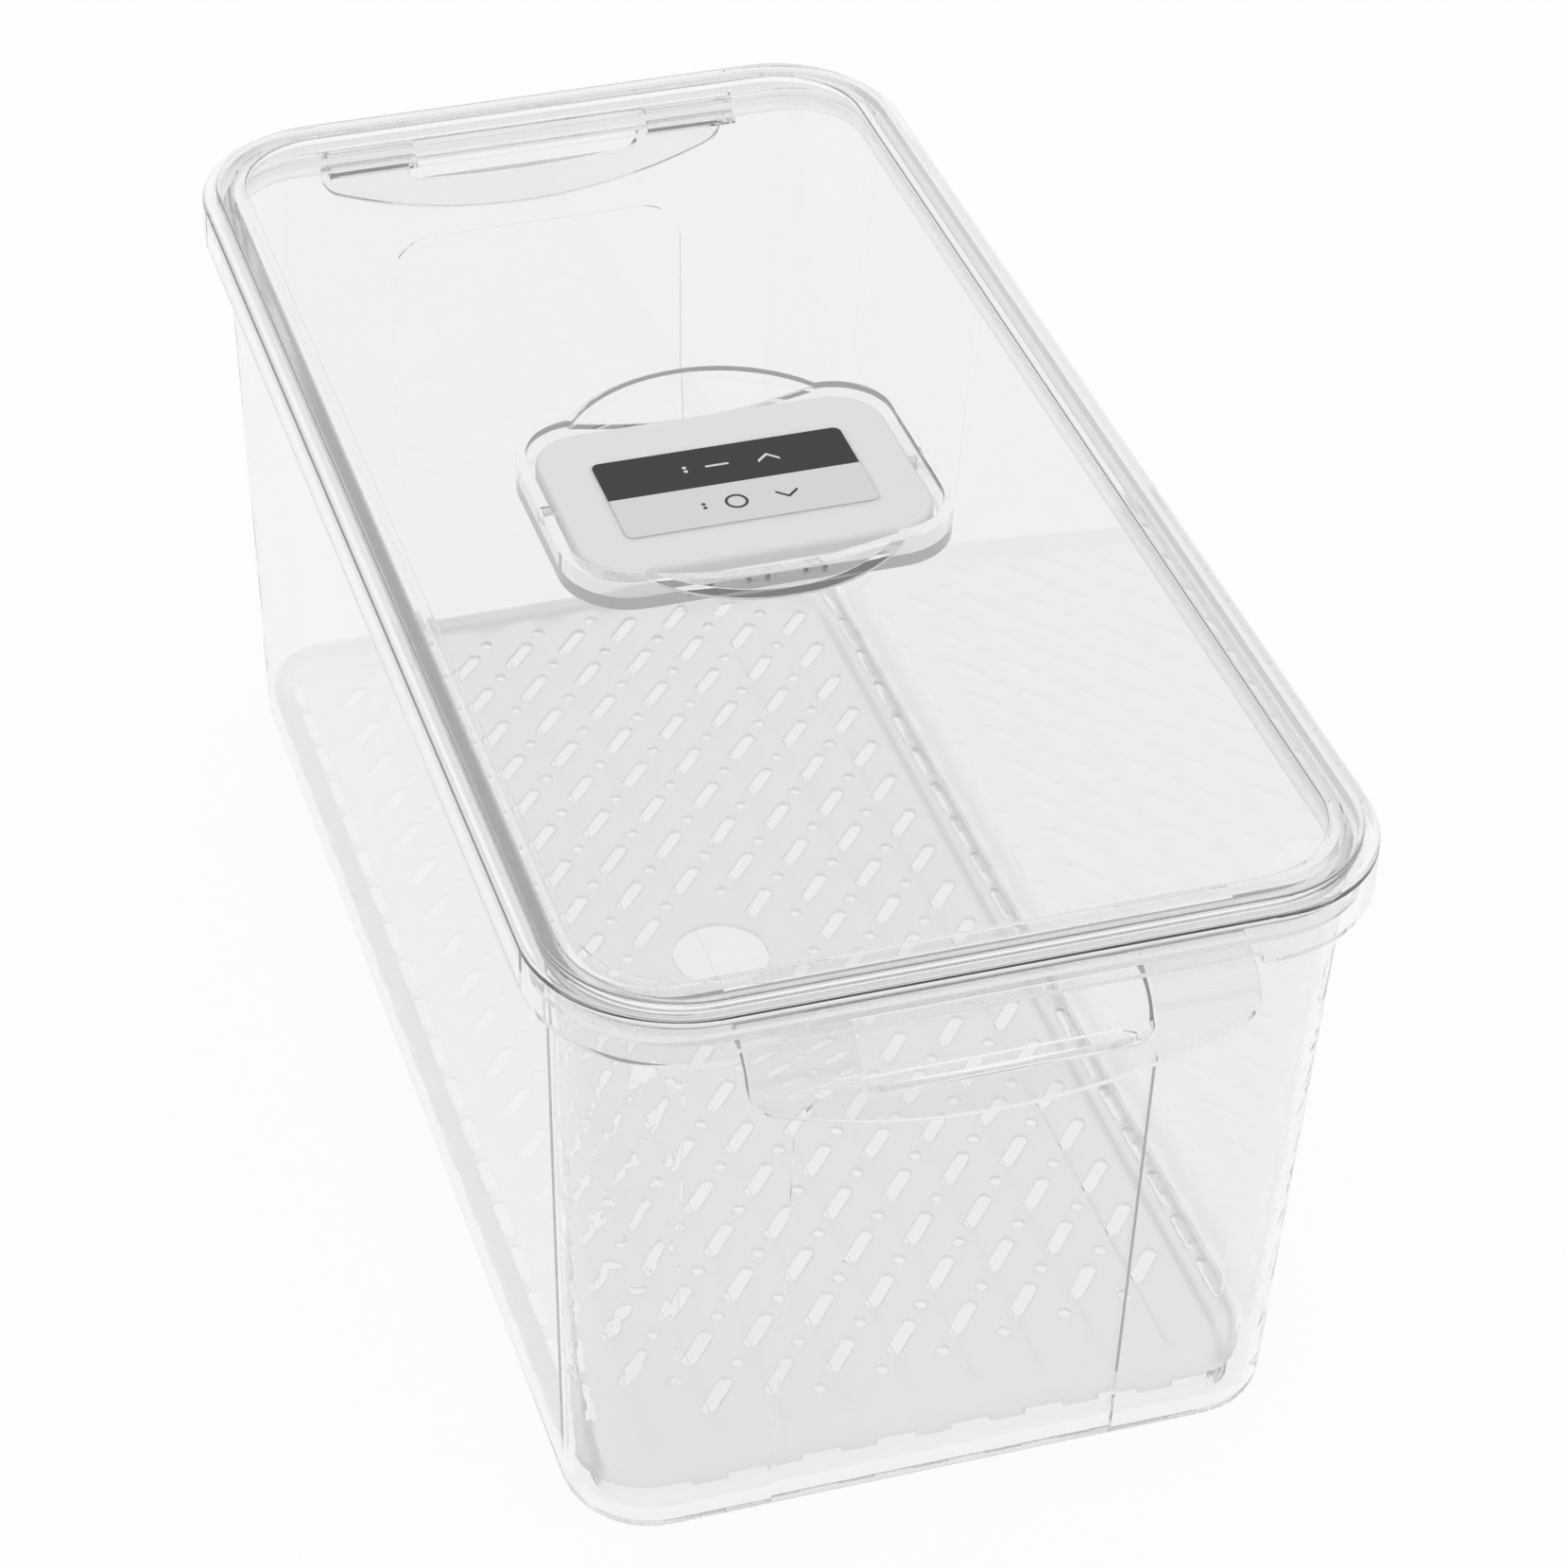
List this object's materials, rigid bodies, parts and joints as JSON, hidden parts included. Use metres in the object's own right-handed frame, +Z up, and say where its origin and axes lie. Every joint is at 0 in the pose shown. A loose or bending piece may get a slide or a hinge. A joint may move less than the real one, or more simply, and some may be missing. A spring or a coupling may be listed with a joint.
{
  "type": "fridge storage container",
  "caption": "Clear stackable fridge bin with lip handles, a flat lid with a sunk rocking vent, and a slotted drain tray inside.",
  "frame": {"origin": "middle of the base, on the surface that the bin stands on", "axes": "+Z up, +Y along the bin's length, -Y the end nearer in the picture, +X to its right"},
  "size_m": [0.16, 0.323, 0.14],
  "materials": {
    "clear_bin": "gloss",
    "clear_lid": "gloss",
    "seal_silicone": "matte",
    "white_plastic": "satin",
    "pad_silicone": "matte",
    "label_film": "matte",
    "frosted_plastic": "matte"
  },
  "bodies": {
    "bin": {"tub": "clear_bin"},
    "cover": {"lid": "clear_lid", "lid_seal": "seal_silicone"},
    "rocker": {"vent_rocker": "white_plastic", "vent_pad": "pad_silicone", "rocker_label": "label_film"},
    "tray": {"drain_tray": "frosted_plastic"}
  },
  "joints": [
    {"name": "lid_lift", "type": "slide", "parent": "bin", "child": "cover", "axis": [0, 0, 1], "range_m": [0, 0.06]},
    {"name": "vent_rock", "type": "hinge", "parent": "cover", "child": "rocker", "pos_m": [0, 0, 0.1336], "axis": [-1, 0, 0], "range_deg": [0, 4.5]},
    {"name": "tray_lift", "type": "slide", "parent": "bin", "child": "tray", "axis": [0, 0, 1], "range_m": [0, 0.112]}
  ]
}
